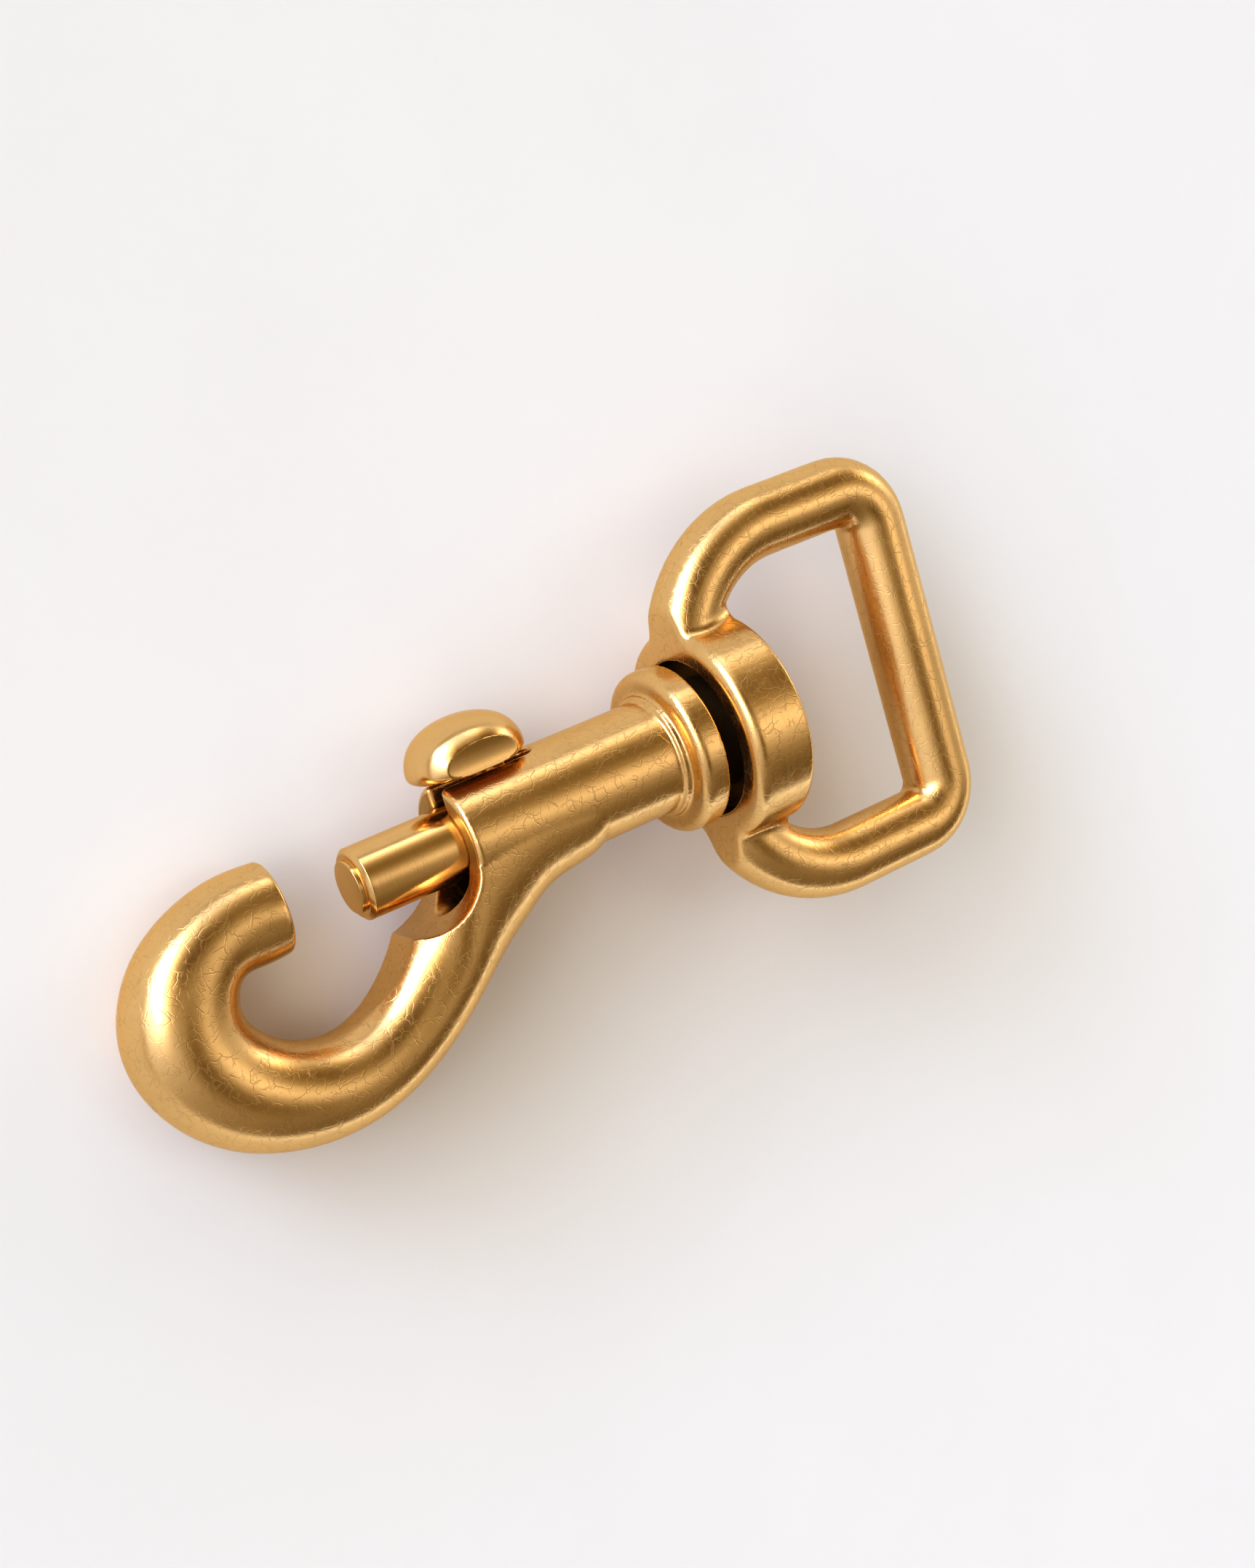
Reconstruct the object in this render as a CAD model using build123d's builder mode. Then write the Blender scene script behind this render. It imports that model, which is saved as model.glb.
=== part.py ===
from build123d import *
import os
from math import cos, radians, sin, sqrt

# Swivel bolt snap: a cast hook with a slotted barrel, a sprung bolt that closes
# the hook's mouth, a thumb knob on the bolt, and a swivel eye for a strap.
# Frame: +X runs along the barrel's axis from the hook to the eye, +Y is the side
# of the mouth and the thumb knob, +Z is up from the surface the snap lies on.
# Lengths are in millimetres. Stations X are counted from the barrel's front face.

# ---- barrel ----
barrel_radius = 6.0
barrel_length = 24.8
bore_radius = 3.78
mouth_edge_chamfer = 0.35
collar_radius = 6.5
collar_length = 0.7
flange_radius = 8.7
flange_thickness = 3.1
flange_round = 1.1

# ---- clearances ----
running_gap = 0.08
press_gap = 0.01
face_gap = 0.15

# ---- relief pocket under the bolt, open at the barrel's front ----
pocket_radius = 3.2
pocket_drop = 2.95
pocket_depth = 7.0

# ---- thumb slot ----
slot_width = 2.8
slot_length = 11.2
slot_lead_in = 0.8

# ---- scoop milled across the barrel's front, and the flat land in the throat ----
scoop_radius = 6.0
scoop_drop = 0.7
throat_radius = 11.4
throat_x = -17.45
throat_y = -0.85
land_height = 6.6

# ---- hook ----
mouth_gap = 8.2
nose_edge_round = 0.35
bow_x = -5.167 * barrel_radius
bow_outer = 0.983 * barrel_radius

# ---- bolt and its pilot ----
bolt_radius = bore_radius - running_gap
bolt_reach = 10.7
bolt_length = 27.5
bolt_bevel = 0.45
pilot_radius = 2.85
pilot_length = 0.6
seat_clearance = 0.1

# ---- thumb knob ----
knob_length = 12.5
knob_width = 10.2
knob_belly = 1.0
knob_crown = 4.4
knob_sole = 0.79
knob_centre_x = 4.4
knob_lift = 0.36
knob_facet = 3.95
knob_facet_radius = 4.0
knob_facet_rise = 0.84
stem_radius = 1.2
stem_x = 7.3
stem_depth = 2.2

# ---- spring behind the bolt ----
spring_wire = 0.35
spring_radius = 3.0
spring_turns = 5.5

# ---- swivel pin ----
plug_length = 3.6
journal_radius = 3.5
thrust_radius = 6.0
pin_head_radius = 5.4
pin_head_height = 2.3

# ---- swivel eye ----
boss_radius = 11.4
boss_gap = 1.7
boss_thickness = 6.9
boss_front_round = 1.3
boss_rear_round = 0.35
counterbore_radius = 8.4
counterbore_depth = 2.4
eye_bar_radius = 3.75
eye_half_width = 18.7
eye_length = 27.3
eye_setback = 1.2
eye_far_corner = 4.5
eye_blend = 1.2

# Stations that follow from the sizes above.
flange_x = barrel_length
flange_rear = flange_x + flange_thickness
boss_front = flange_rear + boss_gap
boss_rear = boss_front + boss_thickness
eye_near_x = boss_front + eye_setback
eye_far_x = eye_near_x + eye_length

# The origin is the middle of the footprint, on the surface under the boss's rim.
axis_height = boss_radius
front_x = -(eye_far_x + eye_bar_radius + bow_x - bow_outer) / 2



def barrel_plane(station):
    """A plane square to the barrel's axis, its local x along +Y."""
    return Plane(
        origin=(front_x + station, 0, axis_height), x_dir=(0, 1, 0), z_dir=(1, 0, 0)
    )


def turning_plane():
    """A half-section plane: local x along the barrel's axis, local y along its radius."""
    return Plane(origin=(front_x, 0, axis_height), x_dir=(1, 0, 0), z_dir=(0, 0, 1))


def turning_axis():
    return Axis((front_x, 0, axis_height), (1, 0, 0))


def edges_at(block, station):
    """The edges of a piece that lie in the plane of one station."""
    return block.edges().filter_by(
        lambda e: abs(e.center().X - front_x - station) < 0.001
        and e.bounding_box().size.X < 0.001
    )


# ---------------------------------------------------------------- snap body
# Stations of the hook's casting, from the nose round the bow and up the spine into
# the barrel: place, heading of the bar, its reach on the outer and the inner side,
# and half its thickness across. Lengths are in barrel radii.
nose_x = -(bolt_reach + mouth_gap)
hook_stations = [
    (nose_x / barrel_radius, 0.16, 180, 0.81, 0.725, 0.755),
    (-3.95, 0.192, 187, 0.783, 0.783, 0.767),
    (-4.75, -0.183, 228, 0.85, 0.85, 0.825),
    (-5.167, -1.117, 270, 0.983, 0.983, 0.867),
    (-4.75, -2.117, 309, 0.958, 0.958, 0.867),
    (-3.717, -2.758, 343, 0.858, 0.858, 0.867),
    (-2.75, -2.858, 365, 0.792, 0.8, 0.842),
    (-1.867, -2.592, 385, 0.767, 0.8, 0.833),
    (-1.083, -2.067, 401, 0.792, 0.867, 0.85),
    (-0.617, -1.583, 404, 0.875, 0.933, 0.892),
    (-0.1, -0.633, 395, 1.35, 0.867, 0.958),
    (0.4, -0.35, 385, 1.325, 0.817, 0.972),
    (1.0, -0.15, 376, 1.217, 0.767, 0.983),
    (1.667, -0.117, 369, 1.083, 0.75, 0.983),
    (2.333, -0.1, 364, 0.967, 0.75, 0.975),
    (3.0, -0.083, 361, 0.908, 0.75, 0.958),
]

with BuildPart() as snap_body:
    for x, y, heading, outer, inner, half in hook_stations:
        way = (cos(radians(heading)), sin(radians(heading)), 0)
        outward = (sin(radians(heading)), -cos(radians(heading)), 0)
        place = (front_x + x * barrel_radius, y * barrel_radius, axis_height)
        thickness = half * barrel_radius
        with BuildSketch(Plane(origin=place, x_dir=outward, z_dir=way)):
            with BuildLine():
                EllipticalCenterArc((0, 0), outer * barrel_radius, thickness, -90, arc_size=180)
                EllipticalCenterArc((0, 0), inner * barrel_radius, thickness, 90, arc_size=180)
            make_face()
    loft()
    # The barrel, its collar and the flange are turned.
    with BuildSketch(turning_plane()):
        with BuildLine():
            Polyline(
                (0, 0),
                (0, barrel_radius),
                (barrel_length - collar_length, barrel_radius),
                (barrel_length - collar_length, collar_radius),
                (flange_x, collar_radius),
                (flange_x, flange_radius),
                (flange_rear, flange_radius),
                (flange_rear, 0),
                close=True,
            )
        make_face()
    revolve(axis=turning_axis())

    # The bore runs right through; its front is relieved under the bolt.
    with BuildSketch(barrel_plane(-scoop_radius)):
        Circle(bore_radius)
    extrude(amount=scoop_radius + flange_rear, mode=Mode.SUBTRACT)
    with BuildSketch(barrel_plane(-2 * scoop_radius)):
        with Locations((-pocket_drop, 0)):
            Circle(pocket_radius)
    extrude(amount=2 * scoop_radius + pocket_depth, mode=Mode.SUBTRACT)
    # The scoop clears the bolt's way in front of the barrel, right across the casting.
    with BuildSketch(Plane.XY.offset(axis_height)):
        with Locations((front_x - scoop_radius, -scoop_drop)):
            Circle(scoop_radius)
        with Locations((front_x, -scoop_drop)):
            Rectangle(
                -nose_x - 0.5, 2 * barrel_radius, align=(Align.MAX, Align.MIN)
            )
    extrude(amount=2 * barrel_radius, both=True, mode=Mode.SUBTRACT)
    # The throat's inner side carries a flat land from the scoop's cusp round to the bow.
    with BuildSketch(Plane.XY.offset(axis_height)):
        with Locations((front_x + throat_x, throat_y)):
            Circle(throat_radius)
        with Locations((front_x + throat_x, throat_y - throat_radius)):
            Rectangle(
                throat_radius, land_height, align=(Align.MIN, Align.MIN), mode=Mode.INTERSECT
            )
    extrude(amount=2 * barrel_radius, both=True, mode=Mode.SUBTRACT)
    # Thumb slot, open at the front and round at the back.
    with BuildSketch(Plane.XZ.offset(-barrel_radius - 1)):
        with Locations((front_x, axis_height)):
            Rectangle(
                slot_length - slot_width / 2, slot_width, align=(Align.MIN, Align.CENTER)
            )
        with Locations((front_x + slot_length - slot_width / 2, axis_height)):
            Circle(slot_width / 2)
    extrude(amount=barrel_radius + 1, mode=Mode.SUBTRACT)
    slot_lips = snap_body.edges().filter_by(Axis.Y).filter_by(
        lambda e: abs(e.center().X - front_x) < 0.01 and abs(e.center().Z - axis_height) < slot_width
    )
    fillet(slot_lips, slot_lead_in)
    # A shallow seat in the nose takes the bolt's pilot.
    with BuildSketch(barrel_plane(nose_x)):
        Circle(pilot_radius + seat_clearance)
    extrude(amount=-(pilot_length + seat_clearance), mode=Mode.SUBTRACT)
    # Broken edges: the flange's front, the nose's rim and the barrel's mouth.
    flange_front = snap_body.edges().filter_by(GeomType.CIRCLE).filter_by(
        lambda e: abs(e.radius - flange_radius) < 0.01 and abs(e.center().X - front_x - flange_x) < 0.1
    )
    fillet(flange_front, flange_round)
    nose_rim = snap_body.faces().filter_by(
        lambda f: abs(f.center().X - front_x - nose_x) < 0.01
    ).face().outer_wire().edges()
    fillet(nose_rim, nose_edge_round)
    front_faces = snap_body.faces().filter_by(
        lambda f: f.geom_type == GeomType.PLANE and abs(f.center().X - front_x) < 0.01
    )
    mouth_edges = front_faces.edges().filter_by(
        lambda e: e.geom_type == GeomType.CIRCLE and abs(e.radius - barrel_radius) < 0.01
    )
    chamfer(mouth_edges, mouth_edge_chamfer)
snap_body.part.label = "snap_body"

# ---------------------------------------------------------------- bolt
bolt_front = -bolt_reach
bolt_rear = bolt_front + bolt_length
with BuildPart() as bolt:
    with BuildSketch(turning_plane()):
        with BuildLine():
            Polyline(
                (bolt_front - pilot_length, 0),
                (bolt_front - pilot_length, pilot_radius),
                (bolt_front, pilot_radius),
                (bolt_front, bolt_radius - bolt_bevel),
                (bolt_front + bolt_bevel, bolt_radius),
                (bolt_rear, bolt_radius),
                (bolt_rear, 0),
                close=True,
            )
        make_face()
    revolve(axis=turning_axis())
    pilot_rim = bolt.edges().filter_by(GeomType.CIRCLE).sort_by(Axis.X)[0]
    fillet(pilot_rim, 0.15)
    with BuildSketch(Plane.XZ.offset(-bolt_radius)):
        with Locations((front_x + stem_x, axis_height)):
            Circle(stem_radius + press_gap)
    extrude(amount=bolt_radius + stem_depth + face_gap, mode=Mode.SUBTRACT)
bolt.part.label = "bolt"

# ---------------------------------------------------------------- thumb knob
# A round pebble of unit radius, with a flat sole, a low belly and a full crown, is
# drawn out to an oval. A hollow is milled along each side, and the stem below is
# pressed into the bolt.
knob_floor = barrel_radius + knob_lift
knob_height = knob_belly + knob_crown
with BuildPart() as pebble:
    with BuildSketch():
        with BuildLine():
            Line((0, 0), (knob_sole, 0))
            Bezier((knob_sole, 0), ((1 + knob_sole) / 2, 0), (1, 0.35 * knob_belly), (1, knob_belly))
            Bezier(
                (1, knob_belly),
                (1, knob_belly + 0.51 * knob_crown),
                (0.685, knob_height),
                (0, knob_height),
            )
            Line((0, knob_height), (0, 0))
        make_face()
    revolve(axis=Axis.Y)
oval = scale(pebble.part, by=(knob_length / 2, 1, knob_width / 2))
with BuildPart() as thumb_knob:
    with Locations((front_x + knob_centre_x, knob_floor, axis_height)):
        add(oval)
    with BuildSketch(Plane.YZ.offset(front_x + knob_centre_x - knob_length)):
        with Locations(
            (knob_floor + knob_facet_rise, axis_height + knob_facet + knob_facet_radius),
            (knob_floor + knob_facet_rise, axis_height - knob_facet - knob_facet_radius),
        ):
            Circle(knob_facet_radius)
    extrude(amount=2 * knob_length, mode=Mode.SUBTRACT)
    with BuildSketch(Plane.XZ.offset(-knob_floor - knob_belly)):
        with Locations((front_x + stem_x, axis_height)):
            Circle(stem_radius)
    extrude(amount=knob_floor + knob_belly + stem_depth)
thumb_knob.part.label = "thumb_knob"

# ---------------------------------------------------------------- spring
plug_front = flange_rear - plug_length
spring_start = bolt_rear + spring_wire + face_gap / 2
spring_end = plug_front - spring_wire - face_gap / 2
spring_pitch = (spring_end - spring_start) / spring_turns
with BuildPart() as bolt_spring:
    with BuildLine() as coil:
        Helix(
            pitch=spring_pitch,
            height=spring_end - spring_start,
            radius=spring_radius,
            center=(front_x + spring_start, 0, axis_height),
            direction=(1, 0, 0),
        )
    with BuildSketch(Plane(coil.line @ 0, z_dir=coil.line % 0)):
        Circle(spring_wire)
    sweep()
bolt_spring.part.label = "bolt_spring"

# ---------------------------------------------------------------- swivel pin
# One turned pin: a plug pressed in the barrel's rear, a thrust collar, the journal
# that the boss turns on, and the head that keeps the eye on.
thrust_end = boss_front + counterbore_depth - face_gap
journal_end = boss_rear + face_gap
with BuildPart() as swivel_pin:
    with BuildSketch(turning_plane()):
        with BuildLine():
            Polyline(
                (plug_front, 0),
                (plug_front, bore_radius - press_gap),
                (flange_rear, bore_radius - press_gap),
                (flange_rear, thrust_radius),
                (thrust_end, thrust_radius),
                (thrust_end, journal_radius),
                (journal_end, journal_radius),
                (journal_end, pin_head_radius),
            )
            EllipticalCenterArc((journal_end, 0), pin_head_height, pin_head_radius, 0, arc_size=90)
            Line((journal_end + pin_head_height, 0), (plug_front, 0))
        make_face()
    revolve(axis=turning_axis())
swivel_pin.part.label = "swivel_pin"

# ---------------------------------------------------------------- swivel eye
# The arms bend so that their inner side runs into the boss just inside its rear rim.
arm_rise = eye_near_x - boss_rear
arm_spread = boss_radius - boss_rear_round - eye_half_width
arm_sum = arm_rise + arm_spread + eye_bar_radius
eye_near_corner = -arm_sum + sqrt(
    arm_sum**2 - arm_rise**2 - arm_spread**2 + eye_bar_radius**2
)
corner_y = eye_half_width - eye_near_corner
with BuildPart() as swivel_eye:
    with BuildLine(Plane.XY.offset(axis_height)) as eye_path:
        x0 = front_x + eye_near_x
        x1 = front_x + eye_far_x
        near = eye_near_corner
        far = eye_far_corner
        wide = eye_half_width
        CenterArc((x0 + near, corner_y), near, 180, -90)
        Line((x0 + near, wide), (x1 - far, wide))
        CenterArc((x1 - far, wide - far), far, 90, -90)
        Line((x1, wide - far), (x1, far - wide))
        CenterArc((x1 - far, far - wide), far, 0, -90)
        Line((x1 - far, -wide), (x0 + near, -wide))
        CenterArc((x0 + near, -corner_y), near, 270, -90)
    with BuildSketch(Plane((x0, corner_y, axis_height), x_dir=(1, 0, 0), z_dir=(0, 1, 0))):
        Circle(eye_bar_radius)
    sweep(path=eye_path.wires()[0])
    # The arms are milled off flush with the boss's front face.
    with BuildSketch(barrel_plane(boss_front)):
        Rectangle(2 * eye_half_width, 2 * eye_half_width)
    extrude(amount=-2 * eye_bar_radius, mode=Mode.SUBTRACT)
    with BuildSketch(turning_plane()):
        with BuildLine():
            Polyline(
                (boss_front, 0),
                (boss_front, boss_radius),
                (boss_rear, boss_radius),
                (boss_rear, 0),
                close=True,
            )
        make_face()
    revolve(axis=turning_axis())
    arm_roots = swivel_eye.edges().filter_by(GeomType.BSPLINE).filter_by(
        lambda e: boss_front + 0.1 < e.center().X - front_x < boss_rear - 0.1
    )
    fillet(arm_roots, eye_blend)
    fillet(edges_at(swivel_eye, boss_front), boss_front_round)
    fillet(edges_at(swivel_eye, boss_rear), boss_rear_round)
    with BuildSketch(barrel_plane(boss_front)):
        Circle(counterbore_radius)
    extrude(amount=counterbore_depth, mode=Mode.SUBTRACT)
    with BuildSketch(barrel_plane(boss_front)):
        Circle(journal_radius + running_gap)
    extrude(amount=boss_thickness, mode=Mode.SUBTRACT)
swivel_eye.part.label = "swivel_eye"

os.makedirs("parts", exist_ok=True)
for piece in (snap_body, bolt, thumb_knob, bolt_spring, swivel_pin, swivel_eye):
    export_step(piece.part, f"parts/{piece.part.label}.step")
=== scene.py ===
import math

import bmesh
import bpy
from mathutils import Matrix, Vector


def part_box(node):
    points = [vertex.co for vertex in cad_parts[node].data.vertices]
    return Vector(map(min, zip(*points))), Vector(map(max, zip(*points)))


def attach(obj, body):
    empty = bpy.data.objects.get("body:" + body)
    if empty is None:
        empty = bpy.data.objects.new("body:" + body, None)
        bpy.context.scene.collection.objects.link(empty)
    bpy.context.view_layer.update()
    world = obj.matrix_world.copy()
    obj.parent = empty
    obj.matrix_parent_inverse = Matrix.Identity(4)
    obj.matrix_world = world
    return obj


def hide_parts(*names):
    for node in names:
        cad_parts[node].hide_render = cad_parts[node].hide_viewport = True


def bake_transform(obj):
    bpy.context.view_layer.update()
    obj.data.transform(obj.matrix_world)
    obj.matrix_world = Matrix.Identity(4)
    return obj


# A brass swivel bolt snap lying on its side: the cast hook and barrel, the bolt and
# its thumb knob, the spring, the swivel pin and the strap eye.

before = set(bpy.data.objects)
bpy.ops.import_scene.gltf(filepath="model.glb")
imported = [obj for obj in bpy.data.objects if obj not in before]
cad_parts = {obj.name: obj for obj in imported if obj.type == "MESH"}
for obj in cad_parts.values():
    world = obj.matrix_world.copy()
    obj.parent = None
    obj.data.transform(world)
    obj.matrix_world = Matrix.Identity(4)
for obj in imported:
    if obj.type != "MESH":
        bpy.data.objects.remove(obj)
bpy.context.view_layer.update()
mm = 0.001


# ---------------------------------------------------------------- shader helpers
class Wire:
    """A node socket that adds Math nodes when it is used in an expression."""

    def __init__(self, tree, socket):
        self.tree = tree
        self.socket = socket

    def _math(self, operation, a, b=None):
        node = self.tree.nodes.new("ShaderNodeMath")
        node.operation = operation
        for slot, value in enumerate((a, b)):
            if isinstance(value, Wire):
                self.tree.links.new(value.socket, node.inputs[slot])
            elif value is not None:
                node.inputs[slot].default_value = value
        return Wire(self.tree, node.outputs[0])

    def __add__(self, other):
        return self._math("ADD", self, other)

    __radd__ = __add__

    def __sub__(self, other):
        return self._math("SUBTRACT", self, other)

    def __rsub__(self, other):
        return self._math("SUBTRACT", other, self)

    def __mul__(self, other):
        return self._math("MULTIPLY", self, other)

    def __truediv__(self, other):
        return self._math("DIVIDE", self, other)

    def clamp(self):
        wire = self._math("ADD", self, 0.0)
        wire.socket.node.use_clamp = True
        return wire

    def exp(self):
        return self._math("EXPONENT", self)

    def root(self):
        return self._math("SQRT", self)

    def most(self, other):
        return self._math("MAXIMUM", self, other)


class Graph:
    """A shader tree under construction, for a material or the world."""

    def __init__(self, owner, output):
        owner.use_nodes = True
        self.owner = owner
        self.tree = owner.node_tree
        self.tree.nodes.clear()
        self.out = self.tree.nodes.new(output)

    def node(self, kind, settings=None, output=0, **sockets):
        """Adds a node: its settings are set first, then its sockets by name."""
        node = self.tree.nodes.new(kind)
        for name, value in (settings or {}).items():
            setattr(node, name, value)
        for name, value in sockets.items():
            key = name.replace("_", " ")
            socket = next(
                s for s in node.inputs if s.name.lower() == key.lower() and s.enabled
            )
            if isinstance(value, Wire):
                self.tree.links.new(value.socket, socket)
            else:
                socket.default_value = value
        return Wire(self.tree, node.outputs[output])

    def mix_colour(self, factor, a, b, blend="MIX"):
        node = self.tree.nodes.new("ShaderNodeMix")
        node.data_type = "RGBA"
        node.blend_type = blend
        for slot, value in ((0, factor), (6, a), (7, b)):
            if isinstance(value, Wire):
                self.tree.links.new(value.socket, node.inputs[slot])
            else:
                node.inputs[slot].default_value = value
        return Wire(self.tree, node.outputs[2])

    def split(self, vector):
        """The three components of a vector."""
        first = self.node("ShaderNodeSeparateXYZ", Vector=vector)
        return tuple(Wire(self.tree, out) for out in first.socket.node.outputs)

    def surface(self, shader):
        self.tree.links.new(shader.socket, self.out.inputs[0])
        return self.owner


def material(name):
    return Graph(bpy.data.materials.new(name), "ShaderNodeOutputMaterial")


def hairlines(f, place, scale, bend, width, seed):
    """Fine worm-like scratches: the borders of bent cells, broken into short runs."""
    moved = f.node("ShaderNodeVectorMath", {"operation": "ADD"})
    f.tree.links.new(place.socket, moved.socket.node.inputs[0])
    moved.socket.node.inputs[1].default_value = (seed, 0.3 * seed, -seed)
    warp = f.node("ShaderNodeTexNoise", output=1, Vector=moved, Scale=scale * 1.3, Detail=2.0)
    bent = f.node("ShaderNodeVectorMath", {"operation": "MULTIPLY_ADD"})
    f.tree.links.new(warp.socket, bent.socket.node.inputs[0])
    bent.socket.node.inputs[1].default_value = (bend, bend, bend)
    f.tree.links.new(moved.socket, bent.socket.node.inputs[2])
    cells = f.node("ShaderNodeTexVoronoi", {"feature": "DISTANCE_TO_EDGE"}, Vector=bent, Scale=scale)
    runs = f.node("ShaderNodeTexNoise", Vector=moved, Scale=scale * 1.35, Detail=0.0)
    return (1 - cells / width).clamp() * ((runs - 0.42) * 9.0).clamp()


def brass(name, tone, roughness, hair=1.0, grain=1.0, turned=0.0, coat=0.25, recesses=()):
    """Satin brass: drifting tone, fine grain, turning lines round the barrel's axis,
    hairline scratches, and painted shade in the recesses: a near-black colour where they hold shade (from,
    to, radius, drop, depth)."""
    f = material(name)
    place = f.node("ShaderNodeTexCoord", output=3)
    drift = f.node("ShaderNodeTexNoise", Vector=place, Scale=110.0, Detail=4.0, Roughness=0.6)
    fine = f.node("ShaderNodeTexNoise", Vector=place, Scale=2200.0, Detail=1.0, Roughness=0.6)
    lathe_way = f.node("ShaderNodeMapping", {"vector_type": "POINT"}, Vector=place, Scale=(5.5, 0.35, 0.35))
    lines = f.node("ShaderNodeTexNoise", Vector=lathe_way, Scale=700.0, Detail=1.0, Roughness=0.6)
    scratch = hairlines(f, place, 540.0, 0.0010, 0.036, 0.0).most(
        hairlines(f, place, 820.0, 0.0009, 0.050, 0.37) * 0.7
    ) * hair
    dark = tuple(c * 0.90 for c in tone) + (1,)
    light = tuple(min(1.0, c * 1.05) for c in tone) + (1,)
    colour = f.mix_colour(((drift - 0.3) * 2.2).clamp(), dark, light)
    groove = tuple(c * 0.62 for c in tone) + (1,)
    colour = f.mix_colour((scratch * 0.55).clamp(), colour, groove)
    rough = roughness + (drift - 0.5) * 0.10 + (fine - 0.5) * 0.08 * grain
    rough = rough + (lines - 0.5) * 0.16 * turned + scratch * 0.10
    # Painted shade: inside the listed recesses the colour turns near-black, rougher and without coat, where
    # shade falls in the bore, pocket, mouth and counterbore.
    if recesses:
        x, y, z = f.split(place)
        painted_shade = None
        for start, stop, radius, drop, depth in recesses:
            off_axis = ((y + drop) * (y + drop) + (z - axis_z) * (z - axis_z)).root()
            part = ((radius - off_axis) / (0.12 * mm)).clamp()
            part = part * ((x - start) / (0.5 * mm)).clamp() * ((stop - x) / (0.3 * mm)).clamp() * depth
            painted_shade = part if painted_shade is None else painted_shade.most(part)
        colour = f.mix_colour(painted_shade, colour, (0.055, 0.028, 0.010, 1))
        rough = rough + painted_shade * 0.25
        coat = (1 - painted_shade) * coat
    height = (fine - 0.5) * 0.06 * grain + (lines - 0.5) * 0.8 * turned - scratch * 0.9
    bump = f.node("ShaderNodeBump", Strength=0.30, Distance=0.00003, Height=height)
    return f.surface(f.node(
        "ShaderNodeBsdfPrincipled",
        Base_Color=colour, Metallic=1.0, Roughness=rough.clamp(), Normal=bump,
        Specular_Tint=(0.90, 0.74, 0.45, 1), Coat_Weight=coat, Coat_Roughness=0.2,
    ))


axis_z = 11.4 * mm
front = -12.475 * mm
no_drop = 0.0
# Reach and radius of the painted shade in the bore, the pocket, the mouth, the pin and the counterbore.
bore_reach, bore_shade = 28 * mm, 4.3 * mm
pocket_reach, pocket_shade, pocket_drop = 7.3 * mm, 3.32 * mm, 2.95 * mm
mouth_shade, mouth_depth = 5.5 * mm, 0.45
pin_reach, pin_shade = (20 * mm, 35 * mm), 20 * mm
counterbore_reach, counterbore_shade = (29.9 * mm, 32.3 * mm), 8.5 * mm
tone = (0.78, 0.46, 0.155)
# The cast hook's bore, pocket and mouth ring get painted shade.
cast = brass(
    "cast_brass", tone, 0.225, turned=0.35,
    recesses=(
        (front + 0.3 * mm, front + bore_reach, bore_shade, no_drop, 1.0),
        (front + 0.3 * mm, front + pocket_reach, pocket_shade, pocket_drop, 1.0),
        (front - 0.5 * mm, front + 0.5 * mm, mouth_shade, no_drop, mouth_depth),
    ),
)
bolt_finish = brass("bolt_brass", tone, 0.16, hair=0.25, grain=0.3, turned=0.5)
knob_finish = brass("knob_brass", tone, 0.16, hair=0.25, grain=0.3)
# The pin is painted darker than the other brass, and near-black painted shade covers it along its length,
# as it lies in shade in the counterbore.
pin_brass_with_painted_shade = brass(
    "pin_brass", (0.66, 0.40, 0.14), 0.30, hair=0.6, turned=0.8,
    recesses=((front + pin_reach[0], front + pin_reach[1], pin_shade, no_drop, 1.0),),
)
# The eye's counterbore gets painted shade.
eye_finish = brass(
    "eye_brass", tone, 0.225, turned=0.8,
    recesses=(
        (front + counterbore_reach[0], front + counterbore_reach[1], counterbore_shade, no_drop, 1.0),
    ),
)
steel = material("spring_steel")
steel_place = steel.node("ShaderNodeTexCoord", output=3)
drawn = steel.node("ShaderNodeTexNoise", Vector=steel_place, Scale=1800.0, Detail=3.0)
steel.surface(steel.node(
    "ShaderNodeBsdfPrincipled",
    Base_Color=steel.mix_colour(drawn, (0.42, 0.40, 0.37, 1), (0.66, 0.63, 0.59, 1)),
    Metallic=1.0, Roughness=0.22 + drawn * 0.2,
))


# ---------------------------------------------------------------- pieces
def copy_of(node_name, name):
    """A piece of its own from a solid's mesh, with its corners joined."""
    shape = bmesh.new()
    shape.from_mesh(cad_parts[node_name].data)
    bmesh.ops.remove_doubles(shape, verts=shape.verts, dist=0.001 * mm)
    mesh = bpy.data.meshes.new(name)
    shape.to_mesh(mesh)
    shape.free()
    piece = bpy.data.objects.new(name, mesh)
    bpy.context.scene.collection.objects.link(piece)
    return piece


def cast_skin(node_name, name, body, finish, grid, passes, kept):
    """A cast piece's skin: the solid's own form with its sharp edges gently broken,
    thinned to the kept share of its triangles."""
    piece = copy_of(node_name, name)
    skin = piece.modifiers.new("grid", "REMESH")
    skin.mode = "VOXEL"
    skin.voxel_size = grid
    ease = piece.modifiers.new("ease", "SMOOTH")
    ease.factor = 0.5
    ease.iterations = passes
    if kept < 1:
        thin = piece.modifiers.new("thin", "DECIMATE")
        thin.ratio = kept
    bpy.context.view_layer.update()
    done = bpy.data.meshes.new_from_object(piece.evaluated_get(bpy.context.evaluated_depsgraph_get()))
    piece.modifiers.clear()
    piece.data = done
    done.materials.clear()
    done.materials.append(finish)
    done.shade_smooth()
    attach(piece, body)
    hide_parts(node_name)
    return piece


hook = cast_skin("snap_body", "cast_hook", "snap", cast, grid=0.17 * mm, passes=5, kept=0.48)
eye = cast_skin("swivel_eye", "strap_eye", "eye", eye_finish, grid=0.18 * mm, passes=5, kept=0.60)
knob = cast_skin("thumb_knob", "polished_knob", "bolt", knob_finish, grid=0.10 * mm, passes=4, kept=1)


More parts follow.
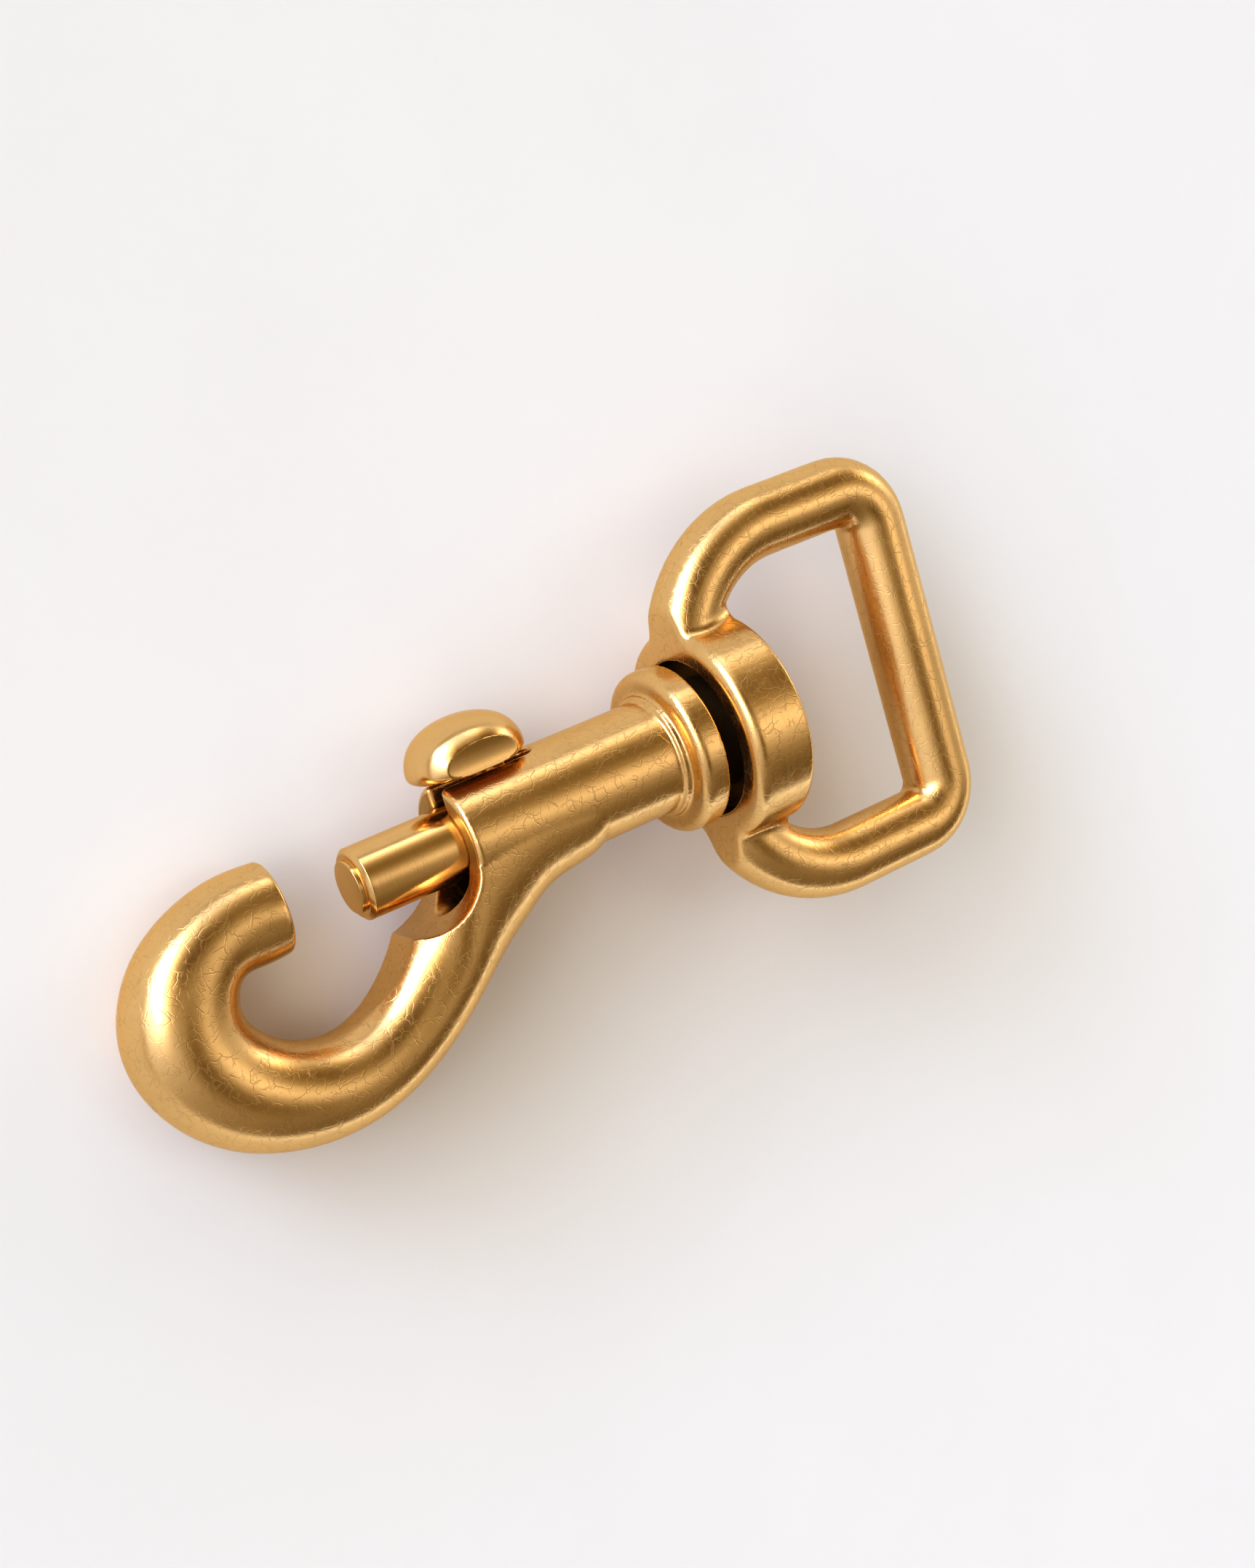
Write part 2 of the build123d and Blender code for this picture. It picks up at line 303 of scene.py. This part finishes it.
def lathed(name, node_name, body, finish, corners, sides):
    """A turned piece on the barrel's axis. Each corner is a station behind the
    barrel's front, a radius and how much of the corner is rounded away."""
    outline = []
    for k, (x, r, ease) in enumerate(corners):
        here = Vector((x, r))
        if not ease:
            outline.append(here)
            continue
        back = (Vector(corners[k - 1][:2]) - here).normalized() * ease
        ahead = (Vector(corners[k + 1][:2]) - here).normalized() * ease
        for step in range(5):
            t = step / 4
            outline.append(here + back * (1 - t) ** 2 + ahead * t ** 2)
    shape = bmesh.new()
    rings = []
    for x, r in outline:
        turns = [2 * math.pi * s / sides for s in range(sides)] if r else [0.0]
        rings.append([
            shape.verts.new((front + x * mm, r * mm * math.sin(a), axis_z + r * mm * math.cos(a)))
            for a in turns
        ])
    for near, far in zip(rings, rings[1:]):
        for s in range(sides):
            t = (s + 1) % sides
            if len(near) == 1:
                shape.faces.new((near[0], far[s], far[t]))
            elif len(far) == 1:
                shape.faces.new((near[t], near[s], far[0]))
            else:
                shape.faces.new((near[t], near[s], far[s], far[t]))
    bmesh.ops.recalc_face_normals(shape, faces=shape.faces)
    mesh = bpy.data.meshes.new(name)
    shape.to_mesh(mesh)
    shape.free()
    mesh.materials.append(finish)
    mesh.shade_smooth()
    piece = bpy.data.objects.new(name, mesh)
    bpy.context.scene.collection.objects.link(piece)
    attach(piece, body)
    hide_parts(node_name)
    return piece


bolt = lathed(
    "turned_bolt", "bolt", "bolt", bolt_finish,
    (
        (-11.20, 0.0, 0), (-11.20, 2.0, 0), (-11.20, 2.70, 0.10), (-10.90, 2.70, 0),
        (-10.70, 2.70, 0.05), (-10.70, 2.9, 0), (-10.70, 3.25, 0.05), (-10.30, 3.70, 0.06),
        (-10.0, 3.70, 0), (-6.0, 3.70, 0), (-2.0, 3.70, 0), (2.0, 3.70, 0), (8.0, 3.70, 0),
        (16.6, 3.70, 0), (16.8, 3.70, 0.10), (16.8, 3.4, 0), (16.8, 0.0, 0),
    ),
    sides=144,
)

# The spring is copied from its solid in spring steel and stays where it stands, attached to no body.
coil = copy_of("bolt_spring", "coil_spring")
coil.data.materials.clear()
coil.data.materials.append(steel.owner)
coil.data.shade_smooth()
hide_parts("bolt_spring")
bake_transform(coil)

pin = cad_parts["swivel_pin"]
pin.data.materials.clear()
pin.data.materials.append(pin_brass_with_painted_shade)

# ---------------------------------------------------------------- surface it lies on
# A paper sweep, flat under the snap and curled up all round. It is tilted so that it
# touches the eye and the bow, as the loose snap lies.
eye_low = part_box("swivel_eye")[0]
floor_tilt = math.radians(5.7)
flat_reach, curl_radius, curl_turn, sweep_sides = 0.7, 0.3, 65, 96
contact = Vector((eye_low.x + 1.1 * mm, 0, 0))
downhill = Vector((math.cos(floor_tilt), 0, -math.sin(floor_tilt)))
across = Vector((0, 1, 0))
upward = Vector((math.sin(floor_tilt), 0, math.cos(floor_tilt)))
profile = [(flat_reach * share, 0.0) for share in (0.1, 0.3, 0.6)]
for turn in range(0, curl_turn + 1, 5):
    bend = math.radians(turn)
    profile.append((flat_reach + curl_radius * math.sin(bend), curl_radius * (1 - math.cos(bend))))
sweep = bmesh.new()
middle = sweep.verts.new(contact)
rings = []
for distance, height in profile:
    rings.append([
        sweep.verts.new(
            contact + upward * height
            + downhill * (distance * math.cos(2 * math.pi * k / sweep_sides))
            + across * (distance * math.sin(2 * math.pi * k / sweep_sides))
        )
        for k in range(sweep_sides)
    ])
for k in range(sweep_sides):
    after = (k + 1) % sweep_sides
    sweep.faces.new((middle, rings[0][k], rings[0][after]))
    for near, far in zip(rings, rings[1:]):
        sweep.faces.new((near[k], far[k], far[after], near[after]))
floor_mesh = bpy.data.meshes.new("floor")
sweep.to_mesh(floor_mesh)
sweep.free()
floor_mesh.shade_smooth()
floor = bpy.data.objects.new("floor", floor_mesh)
bpy.context.scene.collection.objects.link(floor)
paper = material("pale_surface")
spot = paper.node("ShaderNodeTexCoord", output=3)
mottle = paper.node("ShaderNodeTexNoise", Vector=spot, Scale=22.0, Detail=5.0, Roughness=0.6)
dull_sheet, bright_sheet = (0.865, 0.855, 0.820, 1), (0.890, 0.880, 0.845, 1)
sheet_tone = paper.mix_colour(((mottle - 0.3) * 2.5).clamp(), dull_sheet, bright_sheet)
# Painted shadow: where the snap blocks ambient occlusion looking towards the main window, the sheet is
# darkened towards a warm shade tone.
toward_key = paper.node("ShaderNodeCombineXYZ", X=-0.66, Y=0.58, Z=0.48)
open_sky = paper.node(
    "ShaderNodeAmbientOcclusion", {"samples": 8}, output=1, Distance=0.05, Normal=toward_key
)
shade_tone = paper.mix_colour(1.0, sheet_tone, (0.74, 0.60, 0.52, 1), "MULTIPLY")
sheet_tone = paper.mix_colour(open_sky, shade_tone, sheet_tone)
sheet = paper.node("ShaderNodeBsdfPrincipled", Base_Color=sheet_tone, Roughness=0.9, Specular_IOR_Level=0.0)
floor.data.materials.append(paper.surface(sheet))

# ---------------------------------------------------------------- light
# One soft room round the snap, bright and cool on the window side and dim and warm
# across from it. Softboxes lighten it and flags darken it: azimuth and elevation in
# degrees, sharpness, strength as a power of e. Shade in the room is warmer than light.
# Most of the list began as the rounded result of a fitting program and was then moved
# and weighed by hand in coarse steps. report.md names it as an open point.
bright_side = (1.95, 2.25, 3.40)
neutral = (1.0, 1.0, 1.0)
warming = (1.0, 1.25, 1.9)
room_parts = {
    "far_side": (-80, 10, 1.5, -2.25, (1.0, 1.2, 1.65)),
    "main_window": (130, 25, 12, 1.85, (0.97, 1.04, 1.1)),
    "small_window": (160, 45, 30, 1.7, neutral),
    "low_strip": (125, 10, 40, 1.2, neutral),
    "side_strip": (65, 15, 40, 0.9, neutral),
    "back_strip": (20, 15, 40, 1.8, neutral),
    "top_softbox": (-5, 55, 30, 1.0, neutral),
    "flag_between_windows": (105, 60, 12, -2.5, warming),
    "flag_at_the_back": (40, 35, 12, -2.0, warming),
    "flag_overhead": (-80, 70, 30, -1.6, warming),
    "flag_at_the_right": (-40, 25, 30, -1.0, warming),
}
world = bpy.data.worlds.new("studio")
bpy.context.scene.world = world
room = Graph(world, "ShaderNodeOutputWorld")
way_x, way_y, way_z = room.split(room.node("ShaderNodeTexCoord"))
level = [math.log(channel) for channel in bright_side]
for azimuth, elevation, sharpness, strength, tint in room_parts.values():
    a, e = math.radians(azimuth), math.radians(elevation)
    level_way = math.cos(e)
    facing = way_x * (level_way * math.cos(a)) + way_y * (level_way * math.sin(a)) + way_z * math.sin(e)
    patch = ((facing - 1) * sharpness).exp()
    level = [so_far + patch * (strength * share) for so_far, share in zip(level, tint)]
red, green, blue = (channel.exp() for channel in level)
room_light = room.node("ShaderNodeCombineColor", Red=red, Green=green, Blue=blue)
room.surface(room.node("ShaderNodeBackground", Color=room_light, Strength=1.0))

# ---------------------------------------------------------------- camera
eye_point = bpy.data.cameras.new("camera")
eye_point.lens = 53.37
eye_point.sensor_width = 36.0
camera = bpy.data.objects.new("camera", eye_point)
camera.location = (-0.10039, 0.05189, 0.21339)
camera.rotation_euler = [math.radians(a) for a in (-3.718, -30.756, -18.970)]
bpy.context.scene.collection.objects.link(camera)
bpy.context.scene.camera = camera
bpy.context.scene.view_settings.view_transform = "Standard"
